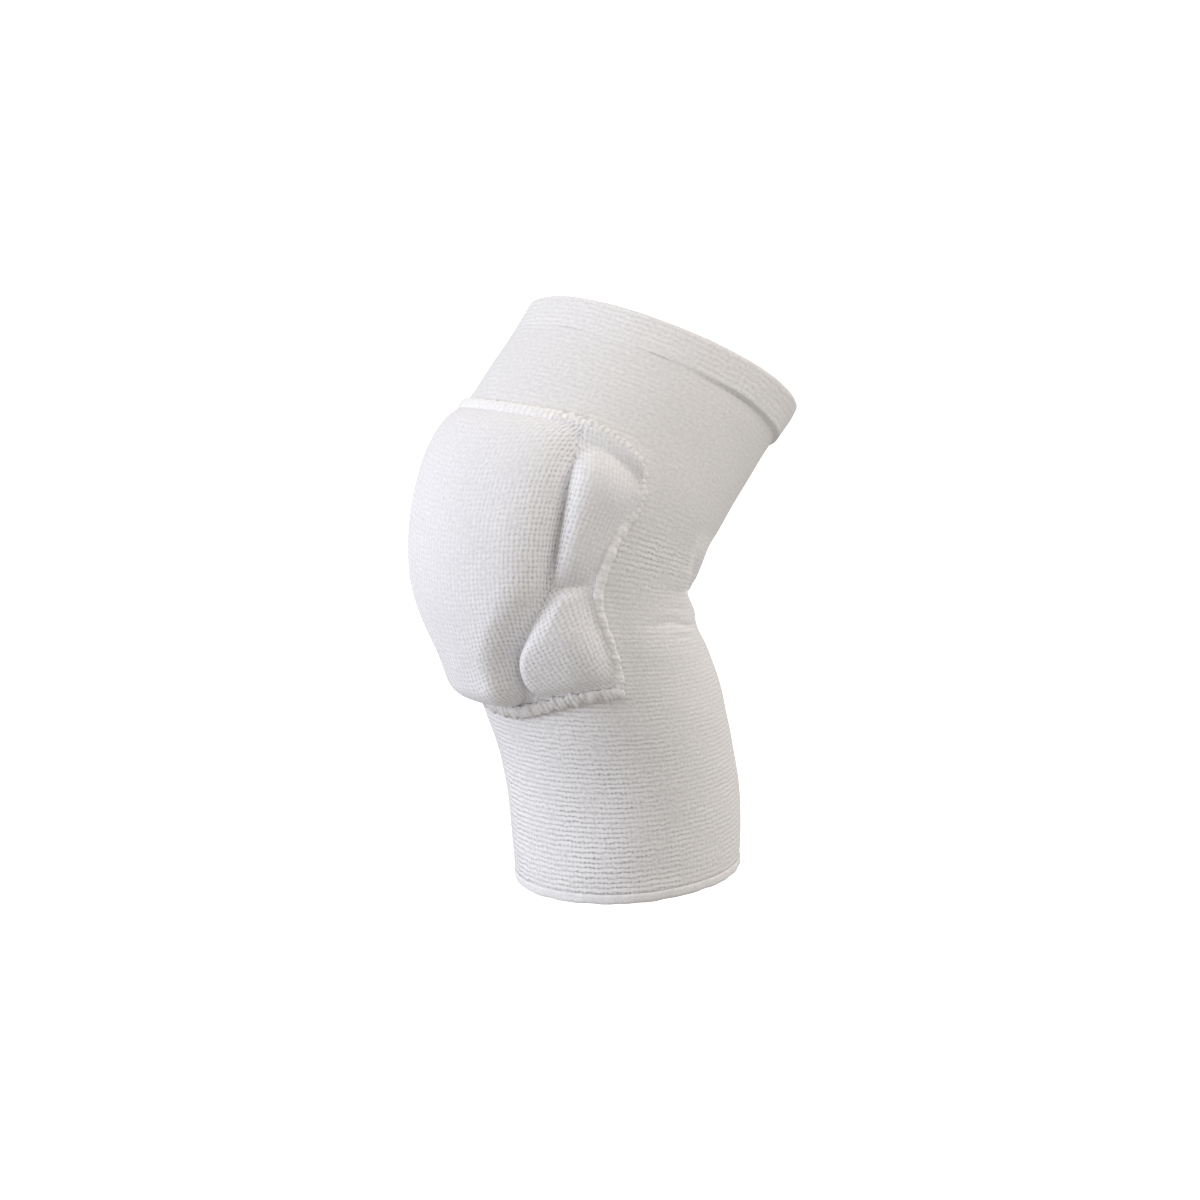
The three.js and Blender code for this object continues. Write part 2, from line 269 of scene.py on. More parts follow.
def unevenness(along, around):
    # slow swells of a worn knit: products of a sine along and one with whole turns round
    s, angle = along * runLength, np.radians(around)
    ends = (ease(runLength - s, sleeve["thighEnd"], uneven["thighFade"])
            * ease(s, sleeve["calfEnd"], uneven["calfFade"]))
    slow = np.sin(s / uneven["slow"] + 2 * np.sin(angle)) * np.cos(2 * angle + 0.6)
    middling = np.sin(s / uneven["middling"] + 3 * np.cos(angle + 1.0)) * np.sin(3 * angle)
    quick = np.sin(s / uneven["quick"] + 2 * angle) * np.cos(5 * angle + s / uneven["drift"])
    return uneven["height"] * ends * (slow + 0.6 * middling + 0.3 * quick)


def flare(along, around):
    # the calf opening is a little wider at the front: one smooth step round times one along
    return (sleeve["flareHeight"] * (1 - ease(fromFront(around), *sleeve["flareTurn"]))
            * ease(sleeve["flareRun"] - along * runLength, 0, sleeve["flareRun"]))


def seamTent(along, around):
    # the seams lift the knit beside them: two bells in the distance outside the sewn lines
    turn = np.abs(around)
    aside = np.maximum(turn - sewnLine("side", along), 0) / degreesPer
    inside = np.minimum(turn, tent["last"])
    beyond = np.maximum(np.maximum(along - sewnLine("upper", inside), sewnLine("lower", inside) - along), 0)
    off = np.hypot(aside, beyond * runLength)
    front = 1 - ease(turn, *tent["front"])
    return (tent["height"] * bell(off, 0, tent["reach"])
            + (tent["ridge"] - tent["frontLess"] * front) * bell(off, *tent["ridgeAt"]))


def buildSleeve():
    # outer face: rib height is a cosine of the distance along; the inner face follows a wall in
    step = sleeve["course"] / sleeve["rowsPerCourse"]
    s = np.arange(sleeve["calfEnd"] - sleeve["calfLap"],
                  runLength - sleeve["thighEnd"] + sleeve["thighLap"], step)
    s = join([s, s[-1:] + sleeve["edgeStep"]])
    inS = np.linspace(s[-1], s[0], sleeve["innerRows"])
    around = aroundGrid(sleeve["columns"])
    turn, down = np.abs(around), s[:, None]
    # the rows stand out on the calf, most at its sides, and sink in where the thigh stretches them
    relief = (np.interp(down, sleeve["reliefAt"], sleeve["relief"])
              * (sleeve["reliefAround"] + sleeve["reliefSide"] * bell(turn, *sleeve["side"]))
              + sleeve["besideRelief"] * bell(down, *sleeve["besideRun"]) * bell(turn, *sleeve["besideTurn"]))
    # behind the knee a finer panel is knitted in, with a slanting edge
    panelEdge = sleeve["panelEdge"] - (down - sleeve["panelFrom"]) * sleeve["panelSlant"]
    middle, half = sleeve["panelRun"]
    panel = (np.clip((turn - panelEdge) / sleeve["panelBlur"] + 0.5, 0, 1)
             * np.exp(-np.abs((down - middle) / half) ** sleeve["panelSquare"]))
    wander = waves(sleeve["ribWander"], np.radians(around), down)
    ribs = relief * sleeve["ribHeight"] * np.cos(2 * np.pi * (down + wander) / sleeve["course"])

    def body(along):
        return gathers(along, around) + unevenness(along, around) + flare(along, around)
    outAlong, inAlong = down / runLength, (inS / runLength)[:, None]
    outLift = ribs + seamTent(outAlong, around) + body(outAlong)
    inLift = body(inAlong) - sleeve["wall"]
    return tubePiece("knitSleeve", join([outAlong, inAlong]), join([outLift, inLift]),
                     join([s, inS]),
                     {"relief": join([relief, np.full(inLift.shape, sleeve["innerRelief"])]),
                      "tint": sleeve["panelTint"] * join([panel, np.zeros(inLift.shape)])})


# Hems: a doubled band at the thigh and a rolled one at the calf
thighHem = {
    "width": 16.0, "wall": 3.2, "columns": 240,
    "outRows": 24, "edgeRows": 8, "turnRows": 12, "inRows": 10,
    "stand": 1.5, "standTurn": (40, 55), "edgeRun": 1.5,    # stands up from the sleeve behind
    "soft": [(0.15, 5, 0, 0.7), (0.09, 11, 0, 2), (0.06, 23, 0, 0)], "softRun": (2, 8),
    "edgeWave": [(0.25, 9, 0, 0)], "edgeWaveRun": 3,
    "back": (115, 55), "curl": 1.3, "curlRun": 5, "sag": 1.2, "sagRun": 12,
    "relief": 0.35,
}
calfHem = {
    "width": 5.4, "wall": 3.6, "rise": 0.45, "columns": 300, "rows": 40, "square": 0.85,
    "lumps": [(0.16, 31, 0, 0), (0.112, 47, 0, 1), (0.096, 13, 0, 2)],
    "edgeWave": [(0.12, 17, 0, 0), (0.10, 29, 0, 0)],
    "relief": 0.25, "tint": 0.3,
}


def buildThighHem():
    # section: outer face up from its sewn edge, half a circle at the opening, inner face down;
    # the outer face stands up from the sleeve by smooth steps along and round
    form, wall = thighHem, thighHem["wall"]
    first, last = runLength - form["width"], runLength - wall / 2
    turnOver = np.linspace(np.pi / 2, -np.pi / 2, form["turnRows"])[1:-1]
    outS = join([[first], first + form["edgeRun"] * np.linspace(0.02, 1, form["edgeRows"]),
                           np.linspace(first + form["edgeRun"], last, form["outRows"])[1:]])
    inS = np.linspace(last, first, form["inRows"])
    s = join([outS, last + wall / 2 * np.cos(turnOver), inS])
    middle = join([0 * outS + wall / 2, wall / 2 * np.sin(turnOver), 0 * inS - wall / 2])
    around = aroundGrid(form["columns"])
    turn, angle, down = np.abs(around), np.radians(around), s[:, None]
    stand = form["stand"] * ease(turn, *form["standTurn"])
    up = ease(s, first, form["edgeRun"])
    up[len(outS):] = 1
    lift = ((middle - wall / 2)[:, None] + stand * up[:, None]
            + waves(form["soft"], angle) * ease(down - first, *form["softRun"]))
    # at the back the edge curls in and hangs a little lower
    back = ease(turn, *form["back"])
    lift = lift - form["curl"] * back * ease(down, runLength - form["curlRun"], form["curlRun"])
    along = (down + waves(form["edgeWave"], angle) * ease(runLength - down, 0, form["edgeWaveRun"])
             - form["sag"] * back * ease(down, first, form["sagRun"])) / runLength
    return tubePiece("thighHem", np.minimum(along, 1.0), lift, s, {"relief": form["relief"]})


def buildCalfHem():
    # closed section, signed powers of cosine and sine, with lumps that scale its thickness
    form, half = calfHem, calfHem["width"] / 2
    t = 2 * np.pi * np.arange(form["rows"]) / form["rows"]
    x, y = (np.sign(part) * np.abs(part) ** form["square"] for part in (np.cos(t), np.sin(t)))
    s, out = half - half * x, form["wall"] / 2 * y
    around = aroundGrid(form["columns"])
    angle = np.radians(around)
    along = np.maximum((s[:, None] + waves(form["edgeWave"], angle)) / runLength, 0)
    lift = (out[:, None] * (1 + waves(form["lumps"], angle) / form["wall"]) + form["rise"] - form["wall"] / 2
            + flare(along, around))
    return tubePiece("calfHem", along, lift, s, {"relief": form["relief"], "tint": form["tint"]})


# Pads: foam lobes under one knitted cover, which is sewn down at the welts and drawn in at the grooves
pads = {
    "lay": 0.5,    # from the sleeve to the under face
    "foot": 0.5,    # height at the welts
    "weltClear": 2.4,    # the foam starts this far in from a welt's middle
    "sideFoot": 1.7,    # height at the side seams, and how far in it is felt
    "sideFootReach": 6.0,
    "topFoot": 2.3,    # the same at the upper cross seam
    "topFootReach": 5.0,
    "grooveGap": 0.06,
    "grooveAlong": [0.330, 0.385, 0.440, 0.500, 0.550, 0.620, 0.700, 0.790],
    "grooveFloor": [0.5, 1.2, 3.6, 3.8, 2.0, 0.4, 0.7, 2.0],   # the cover is higher in a groove
    "grooveFloorTop": 14.0,    # mm below the foam's top over which that floor comes up
    "grooveFloorLow": 9.0,
    "grooveFloorSide": 14.0,
    "topBand": 7.0,    # flat cover between the upper welt and the side foam
    "blend": 4.0,    # how sharply the foam rises out of the floor
    "middle": 0.55,    # a place along the leg that every pad is near
    "rounds": 8,    # steps that settle a place between its two lines
}
centreFoam = {
    "along": [0.330, 0.400, 0.470, 0.540, 0.620, 0.800],
    "height": [19.2, 19.3, 18.9, 17.6, 16.6, 15.8],
    "crown": [0.05, 0.06, 0.09, 0.13, 0.18, 0.20],    # how much lower it is at its sides
    "sideRound": [9.0, 11.0, 15.0, 17.5, 20.0, 20.0],
    "square": [2.8, 2.0, 1.6, 1.7, 2.0, 2.0],    # how square its sides are
    "lowClear": 0.6, "lowRound": 9.5, "lowSquare": 2.3, "corner": 12.0,
    "topBand": 1.5, "topRound": 9.0, "topShare": 0.30, "topSlope": 56.0,
}
# height: at the crown; groove, seam, top, low: how far in from each edge the foam rises; fall,
# droop: how much lower it is towards the seam and the crease; near: mm from the crease where the
# groove side is a long slope
sideFoam = {
    "upper": {"height": 9.4, "groove": 8.5, "seam": 22.0, "seamUnder": 0.8, "top": 20.0, "topUnder": 2.0,
              "low": 12.0, "corner": 15.0, "cornerUnder": 3.0, "fall": 0.10},
    "lower": {"height": 14.2, "groove": 5.5, "seam": 19.0, "seamUnder": 0.8, "top": 6.5, "square": 1.6,
              "low": 30.0, "lowClear": 3.4, "corner": 9.0, "fall": 0.34,
              "droop": 0.08, "near": 18.0, "slope": 26.0},
}
# turn: of the knit, in degrees; plain: relief of the loops where the cover is stretched flat;
# reach: how far from a groove they stand out
lobes = {
    "centre": {"rows": 150, "columns": 150, "turn": 0, "plain": 0.35, "reach": 19.0},
    "upper": {"rows": 100, "columns": 90, "turn": 0, "plain": 0.45, "reach": 8.0},
    "lower": {"rows": 100, "columns": 90, "turn": -24, "plain": 1.05, "reach": 8.0},
}
loops = {
    "beside": 1.5,    # relief beside a groove
    "drawnAndPaintedShade": 2.3, "drawnAndPaintedShadeReach": 2.6, "drawnAndPaintedShadeRun": (0.61, 0.08),    # extra relief where it is drawn in most, darkening the knit's gaps: partly the stretched knit, partly painted groove shade
    "narrow": 0.5, "narrowRun": (0.64, 0.10),    # the reach shrinks higher up
}
underRings = (1.0, 0.66, 0.33, 0.02)    # they close the under face, as shares of the rim's size
inflation = {
    "cell": 4.5, "fewest": 8, "frames": 20, "smoothing": 4, "cap": 2.0,
    "core": 0.56,    # the covers face away from the leg's axis at this share of the run
    "cloth": {"use_pressure": True, "uniform_pressure_force": 4.0, "quality": 6, "mass": 0.012,
              "tension_stiffness": 1.5, "compression_stiffness": 1.5, "shear_stiffness": 0.8,
              "bending_stiffness": 0.5},
}


def settlePlace(p, q, aroundAt, alongAt):
    # along and around depend on each other, so they are worked out in turn until they agree
    along, around = np.full(p.shape, pads["middle"]), np.zeros(p.shape)
    for step in range(pads["rounds"]):
        around = aroundAt(along, q)
        along = alongAt(around, p)
    return along, around


def centreOutline(p, q):
    # p runs from the lower to the upper cross seam, q from one groove to the other
    gap = pads["grooveGap"] / 2 * degreesPer
    return settlePlace(p, q,
                       lambda along, q: (2 * q - 1) * (sewnLine("groove", along) - gap),
                       lambda around, p: sewnLine("lower", around) * (1 - p) + sewnLine("upper", around) * p)


def sideOutline(part, sign):
    def outline(p, q):
        # p runs up between the crease and a cross seam, q from the groove to the side seam
        gap = pads["grooveGap"] / 2

        def aroundAt(along, q):
            first = sewnLine("groove", along) + gap * degreesPer
            return first * (1 - q) + sewnLine("side", along) * q

        def alongAt(around, p):
            crease = readLine(padLines, "crease", around, "creaseAround")
            if part == "upper":
                return (crease + gap / runLength) * (1 - p) + sewnLine("upper", around) * p
            return sewnLine("lower", around) * (1 - p) + (crease - gap / runLength) * p

        along, around = settlePlace(p, q, aroundAt, alongAt)
        return along, sign * around
    return outline


def floorHeight(along, around):
    # height of the cover over the sleeve at its edges: low at the welts, higher in the grooves
    toUpper = (sewnLine("upper", around) - along) * runLength - pads["topBand"]
    toLower = (along - sewnLine("lower", around)) * runLength - pads["weltClear"]
    toSide = (sewnLine("side", along) - np.abs(around)) / degreesPer
    groove = readLine(pads, "grooveFloor", along, "grooveAlong")
    reach = pads["sideFootReach"]
    atSeam = ((pads["sideFoot"] - pads["foot"]) * bell(toSide, 0, reach)
              * ease(toLower, 0, reach) * ease(toUpper, 0, reach))
    atTop = (pads["topFoot"] - pads["foot"]) * bell(toUpper + pads["topBand"], 0, pads["topFootReach"])
    return (pads["foot"] + atSeam + atTop + groove * rise(toUpper, pads["grooveFloorTop"])
            * rise(toLower, pads["grooveFloorLow"]) * ease(toSide, 0, pads["grooveFloorSide"]))


def roundCorner(a, b, radius):
    # distance to the nearer of two edges, with their corner rounded off
    return radius - np.hypot(np.maximum(radius - a, 0), np.maximum(radius - b, 0))


def towards(a, b):
    # share of the way from edge a to edge b, from the distances to the two
    return a / np.maximum(a + b, 1e-6)


def centreHeight(along, low, high, left, right):
    # crown less the square of the distance from the middle, and a share by the distances to the
    # edges: rounded at the sides and below, round and then sloping on top
    form = centreFoam
    across = (left - right) / np.maximum(left + right, 1e-6)
    crown = 1 - readLine(form, "crown", along) * across ** 2
    top, sides = high - form["topBand"], np.minimum(left, right)
    corner = roundCorner(low - pads["weltClear"] - form["lowClear"], sides, form["corner"])
    edge = (rise(sides, readLine(form, "sideRound", along), readLine(form, "square", along))
            * rise(corner, form["lowRound"], form["lowSquare"])
            * (form["topShare"] * rise(top, form["topRound"])
               + (1 - form["topShare"]) * swell(top, form["topSlope"])))
    return readLine(form, "height", along) * crown, edge


def upperHeight(along, low, high, groove, side):
    # falls off from the groove to the seam; slow swells up from the seam and the flat band
    form, band = sideFoam["upper"], high - pads["topBand"]
    crown = form["height"] * (1 - form["fall"] * towards(groove, side))
    edge = (swell(side - pads["weltClear"] + form["seamUnder"], form["seam"])
            * rise(low, form["low"]) * swell(band + form["topUnder"], form["top"])
            * rise(roundCorner(groove, band + form["cornerUnder"], form["corner"]), form["groove"]))
    return crown, edge


def lowerHeight(along, low, high, groove, side):
    # the same, fullest at its inner low corner, with a blend of steep and sloping sides
    form, fromLow = sideFoam["lower"], low - sideFoam["lower"]["lowClear"]
    crown = (form["height"] * (1 - form["fall"] * towards(groove, side))
             * (1 - form["droop"] * towards(high, low)))
    near, inward = bell(high, 0, form["near"]), roundCorner(groove, fromLow, form["corner"])
    edge = (swell(side - pads["weltClear"] + form["seamUnder"], form["seam"])
            * rise(high, form["top"], form["square"]) * rise(fromLow, form["low"])
            * ((1 - near) * rise(inward, form["groove"]) + near * swell(inward, form["slope"])))
    return crown, edge


def lobePoints(outline, heightAt, p, q):
    # top face of a lobe on the grid p x q: crown times edge is the foam's height, and a power mean
    # joins it to the floor
    def reach(a, b):
        return np.abs(a[0] - b[0]) * runLength, np.abs(a[1] - b[1]) / degreesPer
    here = outline(p, q)
    low, high = reach(here, outline(0 * p, q))[0], reach(here, outline(0 * p + 1, q))[0]
    left, right = reach(here, outline(p, 0 * q))[1], reach(here, outline(p, 0 * q + 1))[1]
    crown, edge = heightAt(here[0], low, high, left, right)
    foam, base, power = (crown - pads["foot"]) * edge, floorHeight(*here), pads["blend"]
    height = (foam ** power + base ** power) ** (1 / power)
    return here, pads["lay"] + height


def blendTable(fine, coarse):
    # weights that read a coarse row at finer places, with a cubic through four neighbours
    at = fine * (coarse - 1)
    i = np.clip(np.floor(at).astype(int), 0, coarse - 2)
    t = at - i
    table = np.zeros((len(fine), coarse))
    parts = [(-t ** 3 + 2 * t ** 2 - t) / 2, (3 * t ** 3 - 5 * t ** 2 + 2) / 2,
             (-3 * t ** 3 + 4 * t ** 2 + t) / 2, (t ** 3 - t ** 2) / 2]
    for k, part in enumerate(parts):
        np.add.at(table, (np.arange(len(fine)), np.clip(i + k - 1, 0, coarse - 1)), part)
    return table


def inflate(name, points):
    # blow the cover up over its foam: a coarse cloth, pinned at its border, under air pressure and
    # without weight; returns how far each point has moved, held under the cap by a hyperbolic tangent
    rows, columns = points.shape[:2]
    flat = points.reshape(-1, 3)
    faces = gridFaces(rows, columns, False, False)[0]
    a, b, c = (flat[faces[:, k]] for k in range(3))
    outward = a - np.array(place(inflation["core"], 0, -leg["kneeRadius"]))
    if np.einsum("ij,ij->", np.cross(b - a, c - a), outward) < 0:
        faces = faces[:, ::-1]
    cloth = makeMesh(name + "Air", flat, faces)
    scene = bpy.context.scene
    border = np.zeros((rows, columns), bool)
    border[[0, -1], :] = True
    border[:, [0, -1]] = True
    group = cloth.vertex_groups.new(name="sewnDown")
    group.add(np.flatnonzero(border.ravel()).tolist(), 1.0, "REPLACE")
    air = cloth.modifiers.new("air", "CLOTH")
    air.settings.vertex_group_mass = "sewnDown"
    for key, value in inflation["cloth"].items():
        setattr(air.settings, key, value)
    air.settings.effector_weights.gravity = 0
    air.collision_settings.use_collision = False
    air.point_cache.frame_start = 1
    air.point_cache.frame_end = inflation["frames"]
    for number in range(1, inflation["frames"] + 1):
        scene.frame_set(number)
    held = cloth.evaluated_get(bpy.context.evaluated_depsgraph_get())
    moved = np.empty(rows * columns * 3, dtype=np.float32)
    held.data.vertices.foreach_get("co", moved)
    moved = moved.reshape(rows, columns, 3) - points
    # foam takes up the cloth's small wrinkles: mean of each place and its neighbours
    for step in range(inflation["smoothing"]):
        moved[1:-1, 1:-1] = (2 * moved[1:-1, 1:-1] + moved[2:, 1:-1] + moved[:-2, 1:-1]
                             + moved[1:-1, 2:] + moved[1:-1, :-2]) / 6
    scene.frame_set(1)
    bpy.data.objects.remove(cloth)
    size = np.linalg.norm(moved, axis=-1, keepdims=True)
    cap = inflation["cap"] * mm
    print(f"  {name}: air moves the cover by {size.mean() / mm:.2f} mm, {size.max() / mm:.2f} at most")
    return moved * (cap * np.tanh(size / cap) / np.maximum(size, 1e-9))


def buildLobe(name, outline, heightAt, form, sign=1):
    # closed cushion: a top face whose grid crowds by a cosine towards the edges, its rim down to
    # the sleeve, and rings that close it underneath
    rows, columns = form["rows"], form["columns"]
    pRow, qRow = ((1 - np.cos(np.pi * np.arange(n + 1) / n)) / 2 for n in (rows, columns))
    p, q = np.meshgrid(pRow, qRow, indexing="ij")
    (along, around), lift = lobePoints(outline, heightAt, p, q)
    top = place(along, around, lift)
    length = np.linalg.norm(top[-1, columns // 2] - top[0, columns // 2])
    width = np.linalg.norm(top[rows // 2, -1] - top[rows // 2, 0])
    n = [max(inflation["fewest"], int(d / mm / inflation["cell"])) + 1 for d in (length, width)]
    cp, cq = np.meshgrid(np.linspace(0, 1, n[0]), np.linspace(0, 1, n[1]), indexing="ij")
    (coarseAlong, coarseAround), coarseLift = lobePoints(outline, heightAt, cp, cq)
    moved = inflate(name, place(coarseAlong, coarseAround, coarseLift))
    top = top + np.einsum("ab,bcd,ec->aed", blendTable(pRow, n[0]), moved, blendTable(qRow, n[1]))

    # the knit keeps its pitch: u and v are lengths over the surface from the middle
    stepU = np.linalg.norm(np.diff(top, axis=1), axis=-1)
    stepV = np.linalg.norm(np.diff(top, axis=0), axis=-1)
    u = join([np.zeros((rows + 1, 1)), np.cumsum(stepU, axis=1)], axis=1)
    v = join([np.zeros((1, columns + 1)), np.cumsum(stepV, axis=0)], axis=0)
    u, v = u - u[:, columns // 2:columns // 2 + 1], v - v[rows // 2:rows // 2 + 1, :]
    turn = math.radians(form["turn"] * sign)
    uv = np.stack([u * math.cos(turn) - v * math.sin(turn), u * math.sin(turn) + v * math.cos(turn)], axis=-1)

    line = columns + 1
    rim = join([np.arange(columns), np.arange(rows) * line + columns,
                          rows * line + np.arange(columns, 0, -1), np.arange(rows, 0, -1) * line])
    rimAlong, rimAround, rimUv = along.ravel()[rim], around.ravel()[rim], uv.reshape(-1, 2)[rim]
    midAlong, midAround = along[rows // 2, columns // 2], around[rows // 2, columns // 2]
    rings = [place(midAlong + (rimAlong - midAlong) * share, midAround + (rimAround - midAround) * share,
                   pads["lay"]) for share in underRings]
    points = join([top.reshape(-1, 3)] + rings)
    flatUv = join([uv.reshape(-1, 2)] + [rimUv] * len(rings))

    faces = [gridFaces(rows + 1, line, False, False)[0]]
    count, first = len(rim), (rows + 1) * line
    nextOne = np.roll(np.arange(count), -1)
    upper = rim
    for k in range(len(rings)):
        lower = first + k * count + np.arange(count)
        faces.append(np.stack([upper[nextOne], upper, lower, lower[nextOne]], axis=1))
        upper = lower
    faces = join(faces)
    if turnedInside(points, faces):
        faces = faces[:, ::-1]

    # relief of the loops: two bells in the distance from the groove, and one also along it that darkens the
    # knit in the groove, partly as painted shade
    turn = np.abs(join([around.ravel()] + [rimAround] * len(rings)))
    lengthwise = join([along.ravel()] + [rimAlong] * len(rings))
    aside = (turn - sewnLine("groove", lengthwise)) / degreesPer
    reach = form["reach"] * (1 - loops["narrow"] * ease(lengthwise, *loops["narrowRun"]))
    relief = (form["plain"] + (loops["beside"] - form["plain"]) * bell(aside, 0, reach)
              + loops["drawnAndPaintedShade"] * bell(aside, 0, loops["drawnAndPaintedShadeReach"]) * bell(lengthwise, *loops["drawnAndPaintedShadeRun"]))
    piece = makeMesh(name, points, faces, flatUv[faces], {"relief": relief})
    closeHole(piece)
    return piece


def turnedInside(points, faces):
    # signed volume of the body: negative where the faces point inwards
    a, b, c, d = (points[faces[:, k]] for k in range(4))
    return np.sum(a * (np.cross(b, c) + np.cross(c, d))) < 0


def closeHole(piece):
    # fill the tiny holes left under a pad or at a welt's ends
    body = bmesh.new()
    body.from_mesh(piece.data)
    edges = [edge for edge in body.edges if edge.is_boundary]
    bmesh.ops.holes_fill(body, edges=edges, sides=0)
    bmesh.ops.recalc_face_normals(body, faces=body.faces)
    body.to_mesh(piece.data)
    body.free()


# Welts: overlocked thread laid along the pad edges. twist, lump: mm for one turn of the strands and
# between lumps; turn: mm where a cross seam bends into the side seams; share: of the height, and
# rough: of twist and lumps, at the places in at.
welts = {
    "steps": 0.4,    # mm between sections
    "corners": 22,
    "pathPoints": 200,
    "bendPoints": 16,
    "lumpParts": (1, 0.61, 0.43, 0.27),
    "stitch": [(0.5, 0, 1 / 2.9, 0), (0.4, 0, 1 / 1.3, 1)],    # uneven stitches
    "taper": 2.2,    # mm over which an end closes
    "sink": 0.2,
    "lowCorner": 0.38,    # share of the run near a side seam's low end, and how far into the
    "lowLap": 0.5,    # turns of the cross seams it goes
    "highLap": 0.8,
    "upper": {"tint": 0.4, "width": 5.4, "height": 2.7, "turn": 8.0,
              "twist": 4.4, "twistDepth": 0.12, "lump": 7.5, "lumpDepth": 0.11,
              "at": [0, 0.10, 0.20, 0.28, 0.34, 0.66, 0.72, 0.80, 0.90, 1],
              "share": [0.3, 0.4, 0.7, 0.9, 1, 1, 0.9, 0.7, 0.4, 0.3],
              "rough": [0.5, 0.7, 1, 1, 0.3, 0.3, 1, 1, 0.7, 0.5]},
    # the lower welt's tint of 1 is painted shade: the grey of its thread where it lies under the pads
    "lower": {"tint": 1.0, "width": 5.8, "height": 3.4, "turn": 3.0,
              "twist": 7.0, "twistDepth": 0.11, "lump": 8.3, "lumpDepth": 0.12,
              "at": [0, 0.08, 0.92, 1], "share": [0.6, 1, 1, 0.6], "rough": [0.6, 1, 1, 0.6]},
    "side": {"tint": 0.45, "width": 4.4, "height": 3.1,
             "twist": 4.6, "twistDepth": 0.04, "lump": 9.0, "lumpDepth": 0.13,
             "at": [0, 0.2, 0.45, 0.62, 0.74, 0.86, 1],
             "share": [0.75, 0.78, 0.95, 1.1, 0.85, 0.55, 0.4],
             "rough": [1.1, 0.9, 0.7, 0.5, 0.8, 0.9, 0.7]},
}


def seamCorner(column):
    # angle where a cross seam meets the side seams
    corner = float(sewnLine("side", 0.5))
    for step in range(pads["rounds"]):
        corner = float(sewnLine("side", sewnLine(column, corner)))
    return corner


def crossPath(column):
    # path in mm, run and girth, that turns into the side seams through quadratic curves
    corner, turn = seamCorner(column), welts[column]["turn"]
    around = np.linspace(-corner + turn * degreesPer, corner - turn * degreesPer, welts["pathPoints"])
    along = sewnLine(column, around)
    bend = sewnLine(column, corner)
    tipAlong = bend - (1 if column == "upper" else -1) * turn / runLength
    tipAround = sewnLine("side", tipAlong)
    t = np.linspace(0, 1, welts["bendPoints"])[1:]
    curveAlong = (1 - t) ** 2 * along[-1] + 2 * t * (1 - t) * bend + t ** 2 * tipAlong
    curveAround = (1 - t) ** 2 * around[-1] + 2 * t * (1 - t) * corner + t ** 2 * tipAround
    along = join([curveAlong[::-1], along, curveAlong])
    around = join([-curveAround[::-1], around, curveAround])
    return along * runLength, around / degreesPer


def sidePath(sign):
    # path in mm between the turns of the two cross seams
    lowCorner = float(sewnLine("side", welts["lowCorner"]))
    low = sewnLine("lower", lowCorner) + welts["lower"]["turn"] * welts["lowLap"] / runLength
    high = sewnLine("upper", seamCorner("upper")) - welts["upper"]["turn"] * welts["highLap"] / runLength
    along = np.linspace(low, high, welts["pathPoints"])
    return along * runLength, sign * sewnLine("side", along) / degreesPer


def buildWelt(name, path, form):
    # an oval carried along a line on the sleeve; its radius follows two strands that wind round
    # each other, a cosine of twice the angle less the turn of the twist, and slow lumps
    a, b = path
    length = join([[0], np.cumsum(np.hypot(np.diff(a), np.diff(b)))])
    s = np.linspace(0, length[-1], int(length[-1] / welts["steps"]))
    a, b = np.interp(s, length, a), np.interp(s, length, b)
    da, db = np.gradient(a), np.gradient(b)
    size = np.hypot(da, db)
    down, at = s[:, None], s / length[-1]
    angle = (2 * np.pi * np.arange(welts["corners"]) / welts["corners"])[None, :]
    rough = np.interp(at, form["at"], form["rough"])[:, None]
    share = np.interp(at, form["at"], form["share"])[:, None]
    stitch = down + waves(welts["stitch"], 0, down)
    lumps = sum(part * np.sin(2 * np.pi * down / (form["lump"] * part) + 3 * part)
                for part in welts["lumpParts"])
    twist = (1 + form["twistDepth"] * rough * np.cos(2 * (angle - np.pi * stitch / form["twist"]))
             + form["lumpDepth"] * rough * lumps)
    taper = np.sqrt(np.clip(np.minimum(s, length[-1] - s) / welts["taper"], 0.02, 1))[:, None]
    across = np.cos(angle) * form["width"] / 2 * twist * taper
    up = (1 + np.sin(angle) * twist * taper) * form["height"] / 2 * share
    along = (a[:, None] - across * (db / size)[:, None]) / runLength
    around = (b[:, None] + across * (da / size)[:, None]) * degreesPer
    points = place(along, around, pads["lay"] + up - welts["sink"])
    rows, columns = points.shape[:2]
    faces, corner = gridFaces(rows, columns, False, True)
    wrap = np.pi * (form["width"] + form["height"]) / 2 * mm
    uv = cornerUv(corner, np.arange(columns + 1) / columns * wrap, s * mm)
    # low stretches lose their tint; on the lower welt that tint is painted shade
    piece = makeMesh(name, points, faces, uv,
                     {"relief": 0.15 + 0.85 * rough, "tint": form["tint"] * ease(share * 1.4 - 0.4)})
    closeHole(piece)
    return piece


# Materials
def colour(hexValue):
    # sRGB hex to the linear values that Blender's sockets take
    parts = [int(hexValue[i:i + 2], 16) / 255 for i in (1, 3, 5)]
    return tuple(p / 12.92 if p <= 0.04045 else ((p + 0.055) / 1.055) ** 2.4 for p in parts) + (1.0,)


def addNode(tree, kind, links=None, values=None, **settings):
    # one node: settings are its own properties, values go on its sockets, and links feed its sockets
    # from other sockets, where a node stands for its first one
    node = tree.nodes.new("ShaderNode" + kind)
    for key, value in settings.items():
        setattr(node, key, value)
    for key, value in (values or {}).items():
        node.inputs[key].default_value = value
    for key, source in (links or {}).items():
        tree.links.new(getattr(source, "outputs", [source])[0], node.inputs[key])
    return node


